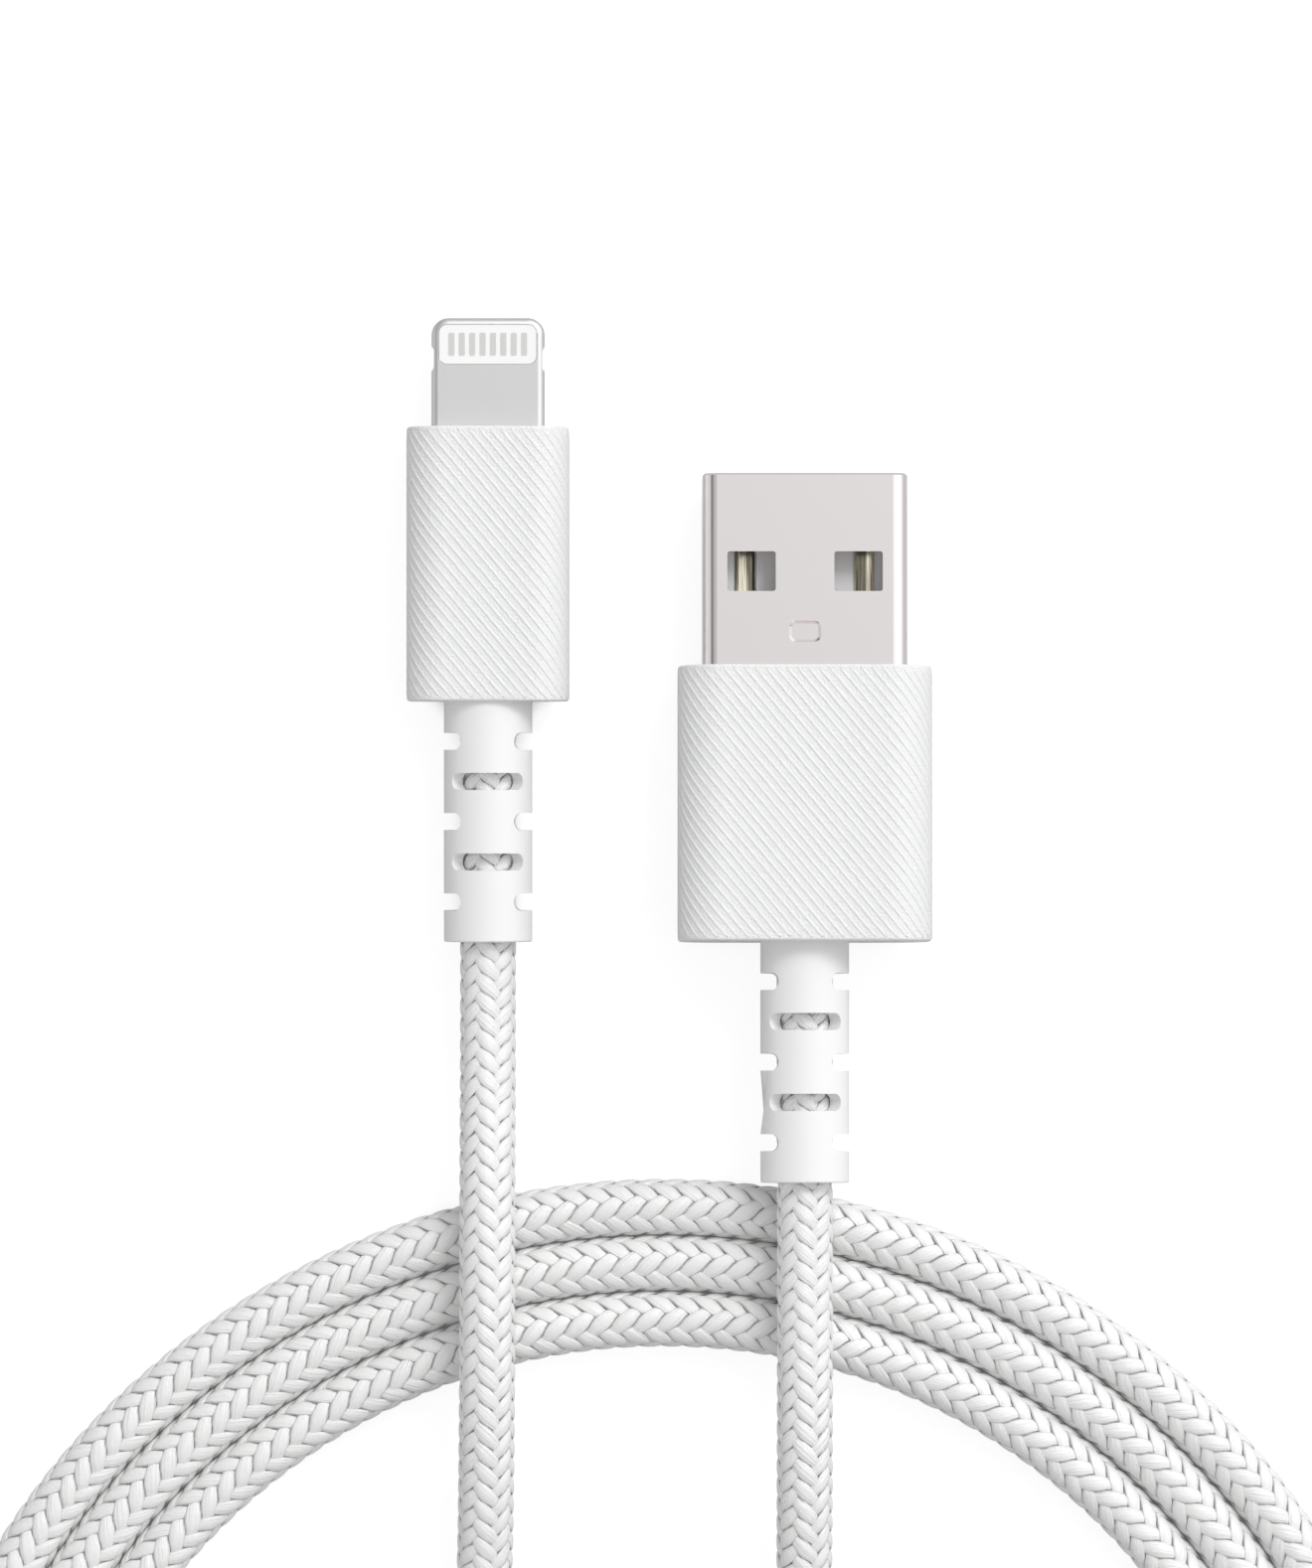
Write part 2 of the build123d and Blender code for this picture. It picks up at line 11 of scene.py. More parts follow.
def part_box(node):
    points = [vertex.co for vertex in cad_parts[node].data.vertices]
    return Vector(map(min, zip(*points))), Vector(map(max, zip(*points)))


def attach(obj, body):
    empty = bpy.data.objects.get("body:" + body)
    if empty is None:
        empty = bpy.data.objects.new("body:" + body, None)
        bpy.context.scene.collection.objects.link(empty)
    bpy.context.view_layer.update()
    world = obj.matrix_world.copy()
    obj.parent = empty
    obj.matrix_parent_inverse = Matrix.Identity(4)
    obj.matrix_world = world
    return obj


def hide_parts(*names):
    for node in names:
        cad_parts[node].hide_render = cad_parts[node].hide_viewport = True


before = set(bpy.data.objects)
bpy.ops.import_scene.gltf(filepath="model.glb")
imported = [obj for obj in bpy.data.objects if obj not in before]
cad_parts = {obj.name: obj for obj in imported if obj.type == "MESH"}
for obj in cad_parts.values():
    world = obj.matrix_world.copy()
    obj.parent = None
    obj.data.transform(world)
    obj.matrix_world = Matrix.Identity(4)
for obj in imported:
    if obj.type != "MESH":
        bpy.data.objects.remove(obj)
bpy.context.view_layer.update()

MM = 0.001
ROOT = "root"

# ---- camera and light ----------------------------------------------------------------------------
VIEW_CENTRE = Vector((-0.76, -1.96, 3.0)) * MM
VIEW_DISTANCE = 512.7 * MM
VIEW_LENS = 200.0
FLOOR_SIZE = 3.0
FLOOR_DEPTH = -0.05 * MM           # just under the cable
FLOOR_SHADE = 0.5
FLOOR_SEEN_SHADE = 0.25            # to the eye, which sees its glow besides
FLOOR_GLOW = 0.86
MIRRORED_SHARE = 0.15              # of that glow, in metal
NEAR_FLOOR = 2.5 * MM              # the cable this near darkens the floor's glow: painted shadow
# the floor's glow is cut by ambient occlusion near the cable, a painted shadow, darkest in the gaps
# between turns
NEAR_SAMPLES = 8
CLOSED_SHARE = 0.15                # floor that sees this much past the cable has least glow
OPEN_SHARE = 0.45                  # and from here on it has all of it
CLOSED_GLOW = 0.1                  # what is left of it in the narrow gap between two turns of cord
SKY_TOWARDS = (0.6, 0.5, 0.62)     # its brightest side
SKY_STOPS = (                      # place, from 0 opposite to that side to 1 in it, and strength
    (0.2, 0.85), (0.46, 0.7), (0.56, 0.12), (0.66, 0.45), (0.8, 0.65), (0.93, 1.25),
)
KEY_PLACE = (0.22, 0.3, 0.41)
KEY_SIZE = 0.2
KEY_WATTS = 1.15

# ---- cord ----------------------------------------------------------------------------------------
CORD_DIAMETER = 3.3 * MM
CORE_RADIUS = 1.2 * MM
CORE_BEVEL_STEPS = 4
BLADE_AXIS_X = -10.6375
BLADE_AXIS_Z = 3.0
A_AXIS_X = 7.9625
COIL_CENTRE = (0.18, -71.96)
COIL_FIRST_RADIUS = 38.45
COIL_START_ANGLE = -50.0
COIL_END_ANGLE = 935.0
COIL_FLATTENING = 9.0              # how much nearer to its centre the side away from the plugs lies
COIL_ROUND_ANGLE = 52.0            # to each side of its top, where it isn't flattened
COIL_STEPS = 66
CURVE_STEPS = 12                   # points of the smooth curve to each control point
COIL_PITCH = CORD_DIAMETER / MM
FLOOR_Z = COIL_PITCH / 2           # height of the cord's middle where it lies on the floor
OVER_Z = 5.45                      # and where it crosses over another turn
BLADE_ROUTE = (
    (BLADE_AXIS_X, 7.71, BLADE_AXIS_Z), (BLADE_AXIS_X, -7.0, BLADE_AXIS_Z),
    (BLADE_AXIS_X, -16.5, BLADE_AXIS_Z), (-10.64, -27.5, OVER_Z), (-10.64, -39.0, OVER_Z),
    (-10.9, -52.0, FLOOR_Z), (-12.4, -64.5, FLOOR_Z), (-14.5, -77.5, FLOOR_Z),
    (-12.0, -87.0, FLOOR_Z), (-5.5, -94.4, FLOOR_Z), (3.4, -98.2, FLOOR_Z),
    (12.85, -97.66, FLOOR_Z),
)
A_ROUTE = (
    (-26.64, -102.34, FLOOR_Z), (-15.9, -107.2, OVER_Z), (-5.0, -107.3, OVER_Z),
    (4.2, -102.3, OVER_Z), (9.9, -93.2, OVER_Z), (11.2, -81.5, FLOOR_Z), (10.2, -67.5, FLOOR_Z),
    (A_AXIS_X, -54.0, FLOOR_Z),
    (A_AXIS_X, -41.48, 5.668), (A_AXIS_X, -28.5, 5.17), (A_AXIS_X, -6.4, 4.321),
)

# ---- braid ---------------------------------------------------------------------------------------
STRANDS_EACH_WAY = 8
WAVES_PER_TURN = 4                 # each over two strands of the other way, and under two
STRAND_THICKNESS = 0.21 * MM
STRAND_WAVE = 0.1 * MM             # how far a strand rises over, and dips under, the others
STRAND_FILL = 1.16                 # strand's width over the spacing of its neighbours
STRAND_NECK = 0.24                 # share of its width that a strand loses where it goes under
BRAID_RADIUS = CORD_DIAMETER / 2 - STRAND_WAVE - STRAND_THICKNESS / 2
BAND_SHARPNESS = 1.3               # how suddenly a strand goes under
COIL_LEAD = 10.9 * MM              # one turn of a strand round the cord, where the cord is coiled
TAIL_LEAD = 9.1 * MM               # and on the two straight ends
STRAIGHT_END = 60 * MM             # length of each of these
LEAD_FADE = 40 * MM                # over which the lead then changes
RING_STEP = 0.215 * MM
STRAND_SECTION = ((-1.0, -0.1), (-0.74, 0.6), (-0.28, 1.0), (0.28, 1.0), (0.74, 0.6), (1.0, -0.1),
                  (0.6, -0.8), (-0.6, -0.8))   # across and up, from one edge round to the other

# ---- finishes ------------------------------------------------------------------------------------
YARN_THREADS = (15, 300, 1)        # how many round a strand's section, and to the metre along it
YARN_FUZZ = (40, 7000, 1)
YARN_FUZZ_SHARE = 0.6
YARN_RELIEF = 0.07 * MM
JACKET_GRAIN = (3000, 3000, 3000)  # how many to the metre, on each axis, as in those below
# the jacket's greys, with a random grain, are painted shade for the shadowed yarn seen in the
# braid's gaps
JACKET_DARK = (0.45, 0.45, 0.45)
JACKET_LIGHT = (0.6, 0.6, 0.6)
GLOSS_PATCHES = (260, 260, 260)
GLOSS_SPREAD = 0.12                # how much the roughness of moulded plastic varies
PLATED_STREAKS = (9000, 700, 9000)
PLATED_SPREAD = 0.08               # and that of plated metal
PLATED_RELIEF = 0.0005 * MM
GILT_FINE = (5200, 90, 5200)
GILT_FINE_SHARE = 0.5
GILT_RELIEF = 0.05 * MM
# broad bands of painted shade, dull olive, across the gold contacts, set where shade falls inside
# the shell
GILT_SHADE_BANDS = (1500, 25, 0)
GILT_SHADE_SHIFT = (10.96, 0.0, 5.68)    # picks where the painted shade falls on the contacts
GILT_DARKEST_AT = 0.68                   # band's value at which the painted shade is darkest
GILT_UNSHADED_AT = 0.82                   # and at which the gold is at its brightest, without painted shade
# the colour of that painted shade
GILT_PAINTED_SHADE = (0.2, 0.185, 0.14)
GILT_BRIGHT = (0.95, 0.89, 0.72)

# ---- grip ribs on the housings -------------------------------------------------------------------
HOUSING_LENGTH = 16.1 * MM
HOUSING_SIZES = {                  # width, height and corner radius
    "blade_housing": (9.5 * MM, 6.0 * MM, 2.2 * MM),
    "a_housing": (14.85 * MM, 7.8 * MM, 2.6 * MM),
}
CORNER_STEPS = 18
A_PLUG_TILT = math.radians(2.2)    # its rear is raised
RIB_SPACING = 0.615 * MM           # measured across the housing
RIB_SLANT = math.radians(50)
RIB_HALF_WIDTH = 0.12 * MM
RIB_HEIGHT = 0.034 * MM
RIB_END_GAP = 0.15 * MM            # from the housing's ends, where its edges are rounded
RIB_FADE = 0.35 * MM               # a rib reaches its full size this far from its end
RIB_END_SHARE = 0.35               # share of that size at its end
RIB_RINGS = 72
RIB_SECTION = ((-1.0, -0.5), (-0.55, 0.7), (0.0, 1.0), (0.55, 0.7), (1.0, -0.5))


def deselect():
    for thing in bpy.context.selected_objects:
        thing.select_set(False)


# ---- shaders -------------------------------------------------------------------------------------
class Value:
    """A shader socket. Arithmetic on it adds Math nodes to its tree."""

    def __init__(self, tree, socket):
        self.tree = tree
        self.socket = socket

    def maths(self, operation, *values):
        settings = {"operation": operation}
        return add_node(self.tree, "ShaderNodeMath", settings, dict(enumerate(values)))

    def __add__(self, other):
        return self.maths("ADD", self, other)

    def __rsub__(self, other):
        return self.maths("SUBTRACT", other, self)

    def __mul__(self, other):
        return self.maths("MULTIPLY", self, other)

    __radd__ = __add__
    __rmul__ = __mul__


def add_node(tree, kind, settings=None, inputs=None, output=0):
    """Adds a node with its settings, then feeds its sockets with numbers, colours or Values."""
    node = tree.nodes.new(kind)
    for name, setting in (settings or {}).items():
        if name == "stops":
            for place, shade in setting:
                node.color_ramp.elements.new(place).color = (shade, shade, shade, 1.0)
            node.color_ramp.elements.remove(node.color_ramp.elements[0])
            node.color_ramp.elements.remove(node.color_ramp.elements[-1])
        else:
            setattr(node, name, setting)
    for name, value in (inputs or {}).items():
        if isinstance(value, Value):
            tree.links.new(value.socket, node.inputs[name])
        else:
            node.inputs[name].default_value = value
    return Value(tree, node.outputs[output]) if node.outputs else None


class Finish:
    """A material on one Principled shader."""

    def __init__(self, name, colour, roughness, metallic=0.0, **constants):
        self.material = bpy.data.materials.new(name)
        self.material.use_nodes = True
        self.material.diffuse_color = (*colour, 1.0)
        self.tree = self.material.node_tree
        self.shader = self.tree.nodes["Principled BSDF"]
        self.shader.inputs["Base Color"].default_value = (*colour, 1.0)
        self.shader.inputs["Roughness"].default_value = roughness
        self.shader.inputs["Metallic"].default_value = metallic
        for socket, value in constants.items():
            self.shader.inputs[socket.replace("_", " ")].default_value = value

    def node(self, kind, settings=None, inputs=None, output=0):
        return add_node(self.tree, kind, settings, inputs, output)

    def feed(self, socket, value):
        self.tree.links.new(value.socket, self.shader.inputs[socket])

    def place(self, scale, from_map=False, shift=(0.0, 0.0, 0.0)):
        """Object coordinates, or the piece's own UV map, scaled on each axis and then shifted."""
        place = self.node("ShaderNodeTexCoord", output="UV" if from_map else "Object")
        inputs = {"Vector": place, "Scale": scale, "Location": shift}
        return self.node("ShaderNodeMapping", {"vector_type": "POINT"}, inputs)

    def noise(self, place, detail=2.0):
        inputs = {"Vector": place, "Scale": 1.0, "Detail": detail}
        return self.node("ShaderNodeTexNoise", inputs=inputs)

    def tint(self, amount, dark, light):
        """Mixes two colours by amount and feeds the base colour."""
        inputs = {0: amount, 6: (*dark, 1.0), 7: (*light, 1.0)}
        mixed = self.node("ShaderNodeMix", {"data_type": "RGBA"}, inputs, 2)
        self.feed("Base Color", mixed)

    def bump(self, height, distance):
        inputs = {"Height": height, "Distance": distance, "Strength": 1.0}
        self.feed("Normal", self.node("ShaderNodeBump", inputs=inputs))


# ---- cord ----------------------------------------------------------------------------------------
def coil_point(angle):
    """A control point of the coil in millimetres; angles run on from turn to turn."""
    from_top = abs((angle - 90 + 180) % 360 - 180)
    share = max(0.0, (from_top - COIL_ROUND_ANGLE) / (180 - COIL_ROUND_ANGLE))
    radius = COIL_FIRST_RADIUS + COIL_PITCH * (angle - 90) / 360
    radius -= COIL_FLATTENING * (1 - math.cos(math.pi * share)) / 2
    half_step = math.radians(COIL_END_ANGLE - COIL_START_ANGLE) / COIL_STEPS / 2
    radius /= math.cos(half_step)      # the spline runs inside its control points
    turn = math.radians(angle)
    x, y = COIL_CENTRE
    return x + radius * math.cos(turn), y + radius * math.sin(turn), FLOOR_Z


def cord_route():
    """The cord's control points in metres, from the blade plug round the coil to the A plug."""
    step = (COIL_END_ANGLE - COIL_START_ANGLE) / COIL_STEPS
    coil = [coil_point(COIL_START_ANGLE + step * index) for index in range(COIL_STEPS + 1)]
    return [Vector(point) * MM for point in (*BLADE_ROUTE, *coil, *A_ROUTE)]


def spline_object(name, route):
    """A smooth curve with the route's points as its control points."""
    curve = bpy.data.curves.new(name, "CURVE")
    curve.dimensions = "3D"
    spline = curve.splines.new("NURBS")
    spline.points.add(len(route) - 1)
    for point, place in zip(spline.points, route):
        point.co = (*place, 1.0)
    spline.order_u = 3
    spline.use_endpoint_u = True
    curve.resolution_u = CURVE_STEPS
    piece = bpy.data.objects.new(name, curve)
    bpy.context.scene.collection.objects.link(piece)
    return piece


def even_line(piece):
    """Points RING_STEP apart along a curve without a bevel, and how far along it each lies."""
    mesh = bpy.data.meshes.new_from_object(piece)
    line = np.array([vertex.co for vertex in mesh.vertices])
    bpy.data.meshes.remove(mesh)
    steps = np.linalg.norm(np.diff(line, axis=0), axis=1)
    along = np.concatenate([[0.0], np.cumsum(steps)])
    count = int(along[-1] / RING_STEP) + 1
    at = np.linspace(0.0, along[-1], count)
    return np.stack([np.interp(at, along, line[:, axis]) for axis in range(3)], axis=1), at


def unit(vectors):
    return vectors / np.linalg.norm(vectors, axis=1)[:, None]


def cord_frame(line):
    """Right and up at each point. The cord lies untwisted, so its upper side stays up."""
    along = unit(np.gradient(line, axis=0))
    right = unit(np.cross(along, (0.0, 0.0, 1.0)))
    return right, np.cross(right, along)


def smooth_step(share):
    share = np.clip(share, 0.0, 1.0)
    return share * share * (3 - 2 * share)


def braid_lead(at):
    """Length of one turn of a strand at each point: shorter on the two straight ends."""
    from_end = np.minimum(at, at[-1] - at)
    return TAIL_LEAD + (COIL_LEAD - TAIL_LEAD) * smooth_step((from_end - STRAIGHT_END) / LEAD_FADE)


def strand_rings(line, at, start_angle, way):
    """Rings of points round one strand, which winds way (1 or -1) round the cord."""
    right, up = cord_frame(line)
    rate = 2 * math.pi / braid_lead(at)
    turned = np.concatenate([[0.0], np.cumsum((rate[1:] + rate[:-1]) / 2 * np.diff(at))])
    angle = start_angle + way * turned
    wave = way * BAND_SHARPNESS * np.cos(WAVES_PER_TURN * angle)
    over = np.tanh(wave) / math.tanh(BAND_SHARPNESS)
    radius = BRAID_RADIUS + STRAND_WAVE * over
    outward = right * np.cos(angle)[:, None] + up * np.sin(angle)[:, None]
    middle = line + outward * radius[:, None]
    direction = unit(np.gradient(middle, axis=0))
    sideways = unit(np.cross(direction, outward))
    slant = np.cos(np.arctan(rate * BRAID_RADIUS))
    half_width = STRAND_FILL * math.pi * BRAID_RADIUS / STRANDS_EACH_WAY * slant
    half_width *= 1 - STRAND_NECK * (1 - over ** 2)
    rings = []
    for across, height in STRAND_SECTION:
        offset = across * half_width
        fall = (offset * slant) ** 2 / (2 * BRAID_RADIUS)
        rise = height * STRAND_THICKNESS / 2 - fall
        rings.append(middle + sideways * offset[:, None] + outward * rise[:, None])
    return np.stack(rings, axis=1)


def tube_mesh(name, rings, at):
    """A closed mesh through rings of points. Its UV map runs round them, and along in metres."""
    count, sides = rings.shape[:2]
    start = np.arange(count - 1)[:, None] * sides
    side = np.arange(sides)[None, :]
    after = (side + 1) % sides
    corners = [start + side, start + after, start + sides + after, start + sides + side]
    faces = np.stack(corners, axis=2).reshape(-1, 4).tolist()
    last = (count - 1) * sides
    faces += [list(range(sides))[::-1], list(range(last, last + sides))]
    mesh = bpy.data.meshes.new(name)
    mesh.from_pydata(rings.reshape(-1, 3).tolist(), [], faces)
    layer = mesh.uv_layers.new(name="UVMap")
    left = np.broadcast_to(side / sides, (count - 1, sides))
    right = left + 1 / sides
    low = np.broadcast_to(at[:-1, None], left.shape)
    high = np.broadcast_to(at[1:, None], left.shape)
    places = np.stack([left, low, right, low, right, high, left, high], axis=2)
    flat = np.concatenate([places.reshape(-1), np.zeros(4 * sides)])
    layer.uv.foreach_set("vector", flat.astype(np.float32))
    mesh.shade_smooth()
    mesh.update()
    piece = bpy.data.objects.new(name, mesh)
    bpy.context.scene.collection.objects.link(piece)
    return piece


def braided_cord():
    """The cord's core and the sixteen strands that are braided over it, two over and two under."""
    core = spline_object("cord", cord_route())
    line, at = even_line(core)
    core.data.bevel_depth = CORE_RADIUS
    core.data.bevel_resolution = CORE_BEVEL_STEPS
    core.data.use_fill_caps = True
    strands = []
    for index in range(STRANDS_EACH_WAY):
        turn = 2 * math.pi * index / STRANDS_EACH_WAY
        for way, first in ((1, 0.0), (-1, math.pi / STRANDS_EACH_WAY)):
            rings = strand_rings(line, at, turn + first, way)
            side = "left" if way > 0 else "right"
            strands.append(tube_mesh(f"cord_strand_{side}_{index + 1}", rings, at))
    return core, strands


# ---- grip ribs -----------------------------------------------------------------------------------
def outline(width, height, corner):
    """A rounded rectangle from the middle of its top: distance along it, x, z and outward angle."""
    x, z, angle = [0.0], [height / 2], [math.pi / 2]
    for quarter, (side, top) in enumerate(((1, 1), (1, -1), (-1, -1), (-1, 1))):
        for step in range(CORNER_STEPS + 1):
            turn = math.pi / 2 * (1 - quarter - step / CORNER_STEPS)
            x.append(side * (width / 2 - corner) + corner * math.cos(turn))
            z.append(top * (height / 2 - corner) + corner * math.sin(turn))
            angle.append(turn)
    x, z, angle = np.array(x + x[:1]), np.array(z + z[:1]), np.array(angle + [-1.5 * math.pi])
    return np.concatenate([[0.0], np.cumsum(np.hypot(np.diff(x), np.diff(z)))]), x, z, angle


def rib_rings(shape, start):
    """Rings of points of one rib, which winds round the housing from its front to its rear."""
    distance, x, z, angle = shape
    behind = np.linspace(RIB_END_GAP, HOUSING_LENGTH - RIB_END_GAP, RIB_RINGS)
    place = (start + behind / math.tan(RIB_SLANT)) % distance[-1]
    outward_angle = np.interp(place, distance, angle)
    outward = np.stack([np.cos(outward_angle), np.zeros(RIB_RINGS), np.sin(outward_angle)], axis=1)
    middle = np.stack([np.interp(place, distance, x), HOUSING_LENGTH / 2 - behind,
                       np.interp(place, distance, z)], axis=1)
    direction = unit(np.gradient(middle, axis=0))
    sideways = unit(np.cross(direction, outward))
    from_end = np.minimum(behind, HOUSING_LENGTH - behind) - RIB_END_GAP
    fade = RIB_END_SHARE + (1 - RIB_END_SHARE) * smooth_step(from_end / RIB_FADE)
    rings = []
    for across, height in RIB_SECTION:
        rise = outward * (height * RIB_HEIGHT * fade)[:, None]
        rings.append(middle + sideways * (across * RIB_HALF_WIDTH * fade)[:, None] + rise)
    return np.stack(rings, axis=1), behind


def housing_place(node):
    """Where the middle of a housing lies, and how it is turned."""
    low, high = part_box(node)
    tilt = A_PLUG_TILT if node == "a_housing" else 0.0
    return Matrix.Translation((low + high) / 2) @ Matrix.Rotation(-tilt, 4, "X")


def grip_ribs(node):
    """The slanting ribs that cover one housing."""
    shape = outline(*HOUSING_SIZES[node])
    around = shape[0][-1]
    count = round(around / RIB_SPACING)
    deselect()
    for index in range(count):
        rings, behind = rib_rings(shape, around * index / count)
        rib = tube_mesh(f"{node}_rib", rings, behind)
        rib.select_set(True)
        bpy.context.view_layer.objects.active = rib
    bpy.ops.object.join()
    ribs = bpy.context.object
    ribs.name = f"{node}_ribs"
    ribs.data.transform(housing_place(node))
    return ribs


# ---- finishes of this cable ----------------------------------------------------------------------
def yarn():
    """White braiding yarn: fine threads that run along each strand."""
    finish = Finish("braid_yarn", (0.9, 0.9, 0.895), 0.36, Specular_IOR_Level=0.9)
    threads = finish.noise(finish.place(YARN_THREADS, from_map=True), detail=1.0)
    fuzz = finish.noise(finish.place(YARN_FUZZ, from_map=True))
    finish.bump(threads + fuzz * YARN_FUZZ_SHARE, YARN_RELIEF)
    return finish.material


def cord_core():
    """The jacket under the braid, a real layer whose mid grey is painted shade for the shadowed yarn
    seen in the braid's gaps.
    """
    finish = Finish("cord_jacket", (0.55, 0.55, 0.55), 0.7)
    grain = finish.noise(finish.place(JACKET_GRAIN))
    finish.tint(grain, JACKET_DARK, JACKET_LIGHT)
    return finish.material


def moulded(name, colour, roughness, grain_size, grain_depth):
    """Moulded plastic with a fine spark-eroded grain and a little unevenness in its gloss."""
    finish = Finish(name, colour, roughness)
    fine = finish.noise(finish.place((1 / grain_size,) * 3), detail=3.0)
    broad = finish.noise(finish.place(GLOSS_PATCHES))
    finish.feed("Roughness", broad * GLOSS_SPREAD + (roughness - GLOSS_SPREAD / 2))
    finish.bump(fine, grain_depth)
    return finish.material


def plated(name, colour, roughness):
    """Plated metal with fine drawing streaks, which run along the plug."""
    finish = Finish(name, colour, roughness, metallic=1.0)
    streaks = finish.noise(finish.place(PLATED_STREAKS))
    finish.feed("Roughness", streaks * PLATED_SPREAD + (roughness - PLATED_SPREAD / 2))
    finish.bump(streaks, PLATED_RELIEF)
    return finish.material


def gilt():
    """Gold flash with fine drawing streaks, and broad bands of painted shade, dull olive, set where
    shade falls on the contacts.
    """
    finish = Finish("gilt_contact", (0.9, 0.83, 0.64), 0.2, metallic=1.0)
    fine = finish.noise(finish.place(GILT_FINE))
    # painted shade: broad bands darken the gold to dull olive where the contacts lie in shade
    broad = finish.noise(finish.place(GILT_SHADE_BANDS, shift=GILT_SHADE_SHIFT))
    inputs = {"Value": broad + fine * GILT_FINE_SHARE, "From Min": GILT_DARKEST_AT, "From Max": GILT_UNSHADED_AT}
    finish.tint(finish.node("ShaderNodeMapRange", inputs=inputs), GILT_PAINTED_SHADE, GILT_BRIGHT)
    finish.bump(fine, GILT_RELIEF)
    return finish.material


def wear(piece, material):
    """Makes one material the only one on a piece."""
    for slot in piece.material_slots:
        slot.material = material
    if not piece.material_slots:
        piece.data.materials.append(material)


def dress_nodes():
    """Gives every carried-over piece its finish, which has a name, a colour and a roughness.

    Moulded ones have their grain's size and depth besides.
    """
    finishes = {
        moulded("housing_plastic", (0.855, 0.855, 0.86), 0.42, 0.13 * MM, 0.08 * MM):
            ("blade_housing", "a_housing"),
        moulded("boot_rubber", (0.88, 0.88, 0.88), 0.36, 0.05 * MM, 0.003 * MM):
            ("blade_boot", "a_boot"),
        moulded("contact_insulator", (0.92, 0.92, 0.915), 0.4, 0.05 * MM, 0.002 * MM):
            ("blade_contact_carrier",),
        moulded("tongue_insulator", (0.9, 0.9, 0.9), 0.45, 0.05 * MM, 0.003 * MM): ("a_tongue",),
        moulded("inner_mould", (0.78, 0.78, 0.76), 0.55, 0.08 * MM, 0.01 * MM):
            ("blade_inner_mould", "a_inner_mould"),
        moulded("red_insulation", (0.55, 0.03, 0.03), 0.4, 0.05 * MM, 0.002 * MM):
            ("blade_wire_power", "a_wire_power"),
        moulded("black_insulation", (0.02, 0.02, 0.02), 0.4, 0.05 * MM, 0.002 * MM):
            ("blade_wire_ground", "a_wire_ground"),
        moulded("white_insulation", (0.85, 0.85, 0.85), 0.4, 0.05 * MM, 0.002 * MM):
            ("blade_wire_data_minus", "a_wire_data_minus"),
        moulded("green_insulation", (0.03, 0.35, 0.08), 0.4, 0.05 * MM, 0.002 * MM):
            ("blade_wire_data_plus", "a_wire_data_plus"),
        moulded("board_laminate", (0.02, 0.18, 0.07), 0.35, 0.1 * MM, 0.004 * MM):
            ("blade_circuit_board",),
        moulded("chip_package", (0.02, 0.02, 0.022), 0.5, 0.04 * MM, 0.004 * MM): ("blade_chip",),
        moulded("capacitor_ceramic", (0.45, 0.33, 0.2), 0.4, 0.04 * MM, 0.003 * MM):
            ("blade_capacitors",),
        plated("satin_blade", (0.72, 0.72, 0.72), 0.42): ("blade_frame",),
        plated("nickel_shell", (0.865, 0.823, 0.825), 0.15): ("a_shell",),
        plated("shield_steel", (0.62, 0.6, 0.58), 0.34):
            ("blade_shield_upper", "blade_shield_lower", "a_shield_upper", "a_shield_lower"),
        plated("pale_contact", (0.78, 0.78, 0.77), 0.36):
            ("blade_contacts_front", "blade_contacts_back"),
        gilt():
            ("a_contact_power", "a_contact_data_minus", "a_contact_data_plus", "a_contact_ground"),
    }
    for material, nodes in finishes.items():
        for node in nodes:
            wear(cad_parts[node], material)
    return {material.name: material for material in finishes}


# ---- studio --------------------------------------------------------------------------------------
def seen_share(tree):
    """The share of its glow that the floor has: all of it to the eye, less where it is mirrored."""
    path = {way: add_node(tree, "ShaderNodeLightPath", output=f"Is {way} Ray")
            for way in ("Camera", "Glossy", "Transmission")}
    return path["Camera"] + path["Transmission"] + path["Glossy"] * MIRRORED_SHARE


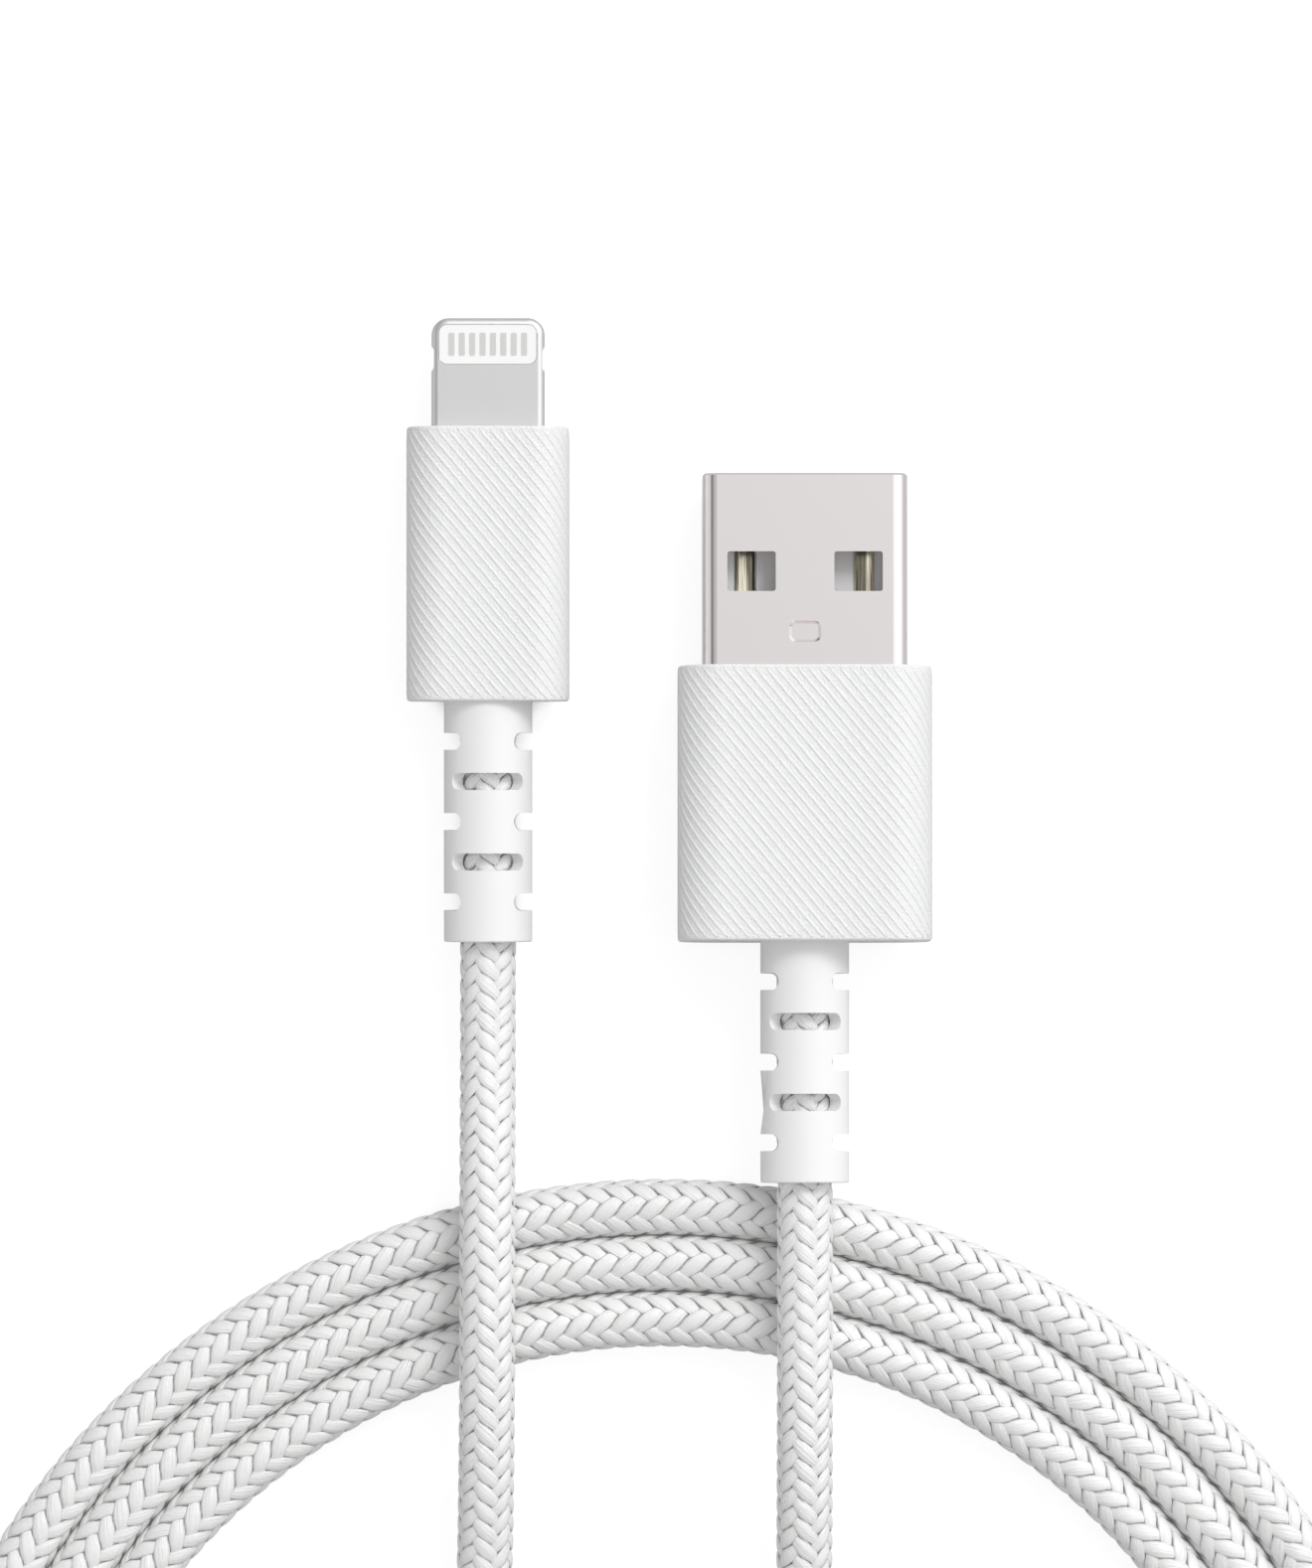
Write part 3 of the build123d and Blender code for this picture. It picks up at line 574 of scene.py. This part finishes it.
def floor():
    """A pale floor that keeps the cable's soft shadow and is white where none falls. Near the cable
    its glow is cut by ambient occlusion, a painted shadow that is darkest in the gaps between turns.
    """
    deselect()
    bpy.ops.mesh.primitive_plane_add(size=FLOOR_SIZE, location=(0, 0, FLOOR_DEPTH))
    plane = bpy.context.object
    plane.name = "floor"
    material = bpy.data.materials.new("pale_floor")
    material.use_nodes = True
    tree = material.node_tree
    tree.nodes.clear()
    camera_ray = add_node(tree, "ShaderNodeLightPath")
    shade = FLOOR_SHADE + camera_ray * (FLOOR_SEEN_SHADE - FLOOR_SHADE)
    diffuse = add_node(tree, "ShaderNodeBsdfDiffuse", inputs={"Color": shade})
    # painted shadow: the glow fades where the cable is near, by ambient occlusion
    open_share = add_node(tree, "ShaderNodeAmbientOcclusion", {"samples": NEAR_SAMPLES},
                          {"Distance": NEAR_FLOOR}, "AO")
    inputs = {"Value": open_share, "From Min": CLOSED_SHARE, "From Max": OPEN_SHARE,
              "To Min": CLOSED_GLOW, "To Max": FLOOR_GLOW}
    glow = seen_share(tree) * add_node(tree, "ShaderNodeMapRange", inputs=inputs)
    glow = add_node(tree, "ShaderNodeEmission", inputs={"Strength": glow})
    both = add_node(tree, "ShaderNodeAddShader", inputs={0: diffuse, 1: glow})
    add_node(tree, "ShaderNodeOutputMaterial", inputs={"Surface": both})
    plane.data.materials.append(material)


def sky():
    """Soft light from above, brightest at the upper right, and plain white to the eye."""
    world = bpy.data.worlds.new("studio")
    world.use_nodes = True
    tree = world.node_tree
    direction = add_node(tree, "ShaderNodeTexCoord", output="Generated")
    inputs = {0: direction, 1: Vector(SKY_TOWARDS).normalized()}
    towards = add_node(tree, "ShaderNodeVectorMath", {"operation": "DOT_PRODUCT"}, inputs, "Value")
    light = add_node(tree, "ShaderNodeValToRGB", {"stops": SKY_STOPS}, {0: towards * 0.5 + 0.5})
    camera_ray = add_node(tree, "ShaderNodeLightPath")
    strength = light + (1 - light) * camera_ray
    background = tree.nodes["Background"]
    background.inputs["Color"].default_value = (1.0, 1.0, 1.0, 1.0)
    tree.links.new(strength.socket, background.inputs["Strength"])
    bpy.context.scene.world = world


def lamp(name, place, size, watts):
    """A square soft light that faces the cable."""
    deselect()
    facing = (VIEW_CENTRE - Vector(place)).to_track_quat("-Z", "Y").to_euler()
    bpy.ops.object.light_add(type="AREA", location=place, rotation=facing)
    light = bpy.context.object
    light.name = name
    light.data.size = size
    light.data.energy = watts


def camera():
    """Looks straight down on the cable."""
    deselect()
    place = VIEW_CENTRE + Vector((0, 0, VIEW_DISTANCE))
    bpy.ops.object.camera_add(location=place, rotation=(0, 0, 0))
    lens = bpy.context.object
    lens.data.lens = VIEW_LENS
    bpy.context.scene.camera = lens


# ---- the whole cable -----------------------------------------------------------------------------
camera()
core, strands = braided_cord()
core.data.materials.append(cord_core())
yarn_finish = yarn()
for piece in (core, *strands):
    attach(piece, ROOT)
for strand in strands:
    wear(strand, yarn_finish)
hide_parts("cord_tail_blade", "cord_coil", "cord_tail_a")

worn = dress_nodes()
for node in HOUSING_SIZES:
    ribs = grip_ribs(node)
    wear(ribs, worn["housing_plastic"])
    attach(ribs, ROOT)

floor()
sky()
lamp("key_light", KEY_PLACE, KEY_SIZE, KEY_WATTS)
bpy.context.scene.view_settings.view_transform = "Standard"
